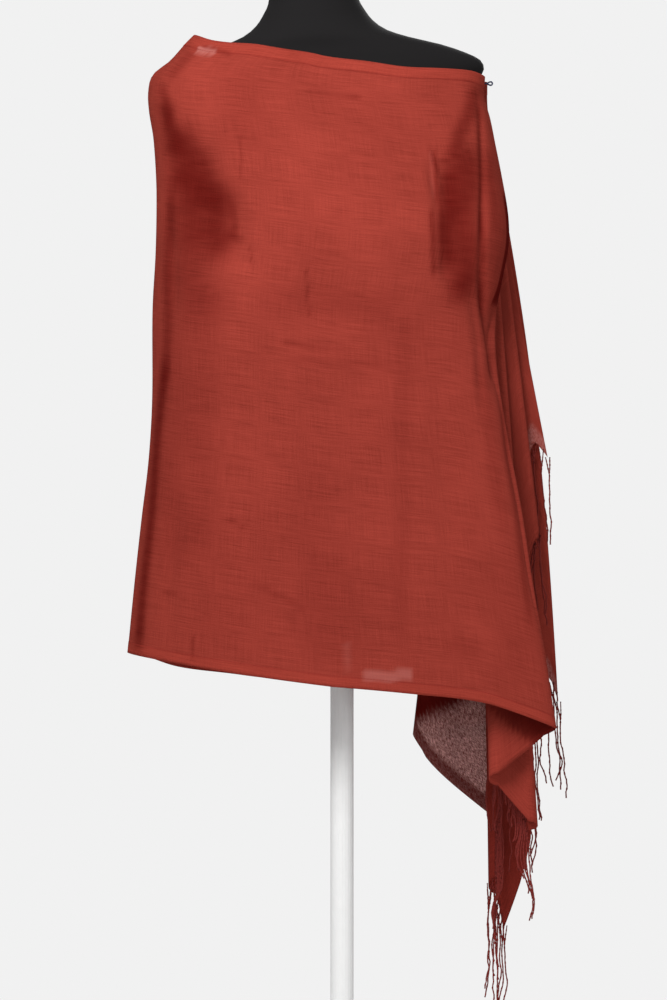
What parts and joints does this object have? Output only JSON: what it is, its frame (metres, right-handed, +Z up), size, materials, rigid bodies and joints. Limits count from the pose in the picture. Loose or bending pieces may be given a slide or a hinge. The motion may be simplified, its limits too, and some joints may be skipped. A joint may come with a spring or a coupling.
{
  "type": "fringed scarf on dress form",
  "caption": "Sheer fringed scarf wrapped across a limbless dress form as a one-shoulder poncho, its ends pinned at the shoulder and hanging in a side cascade, on a pole stand.",
  "frame": {"origin": "centre of the stand foot's underside, on the pole's axis, which is also the middle of the torso's underside", "axes": "+Z up along the pole, -Y the way the scarf's front faces, +X towards the pinned shoulder, at the right in the picture"},
  "size_m": [0.4843, 0.35, 1.463],
  "materials": {
    "scarf_cloth": "sheer plain weave in brick red, soft and matt with a faint lustre",
    "fringe_yarn": "loose yarn ends in the cloth's own colour",
    "pin_wire": "dark blue coated wire",
    "form_cover": "black jersey cover, matt",
    "form_cap": "black satin neck cap",
    "stand_paint": "pale satin paint"
  },
  "bodies": {
    "root": {"scarf_front": "scarf_cloth", "scarf_left_shoulder": "scarf_cloth", "scarf_back": "scarf_cloth", "scarf_front_end": "scarf_cloth", "scarf_back_end": "scarf_cloth", "fringe_front_end": "fringe_yarn", "fringe_back_end": "fringe_yarn", "shoulder_pin": "pin_wire", "form_torso": "form_cover", "form_neck_cap": "form_cap", "stand_pole": "stand_paint", "stand_foot": "stand_paint"}
  },
  "joints": []
}
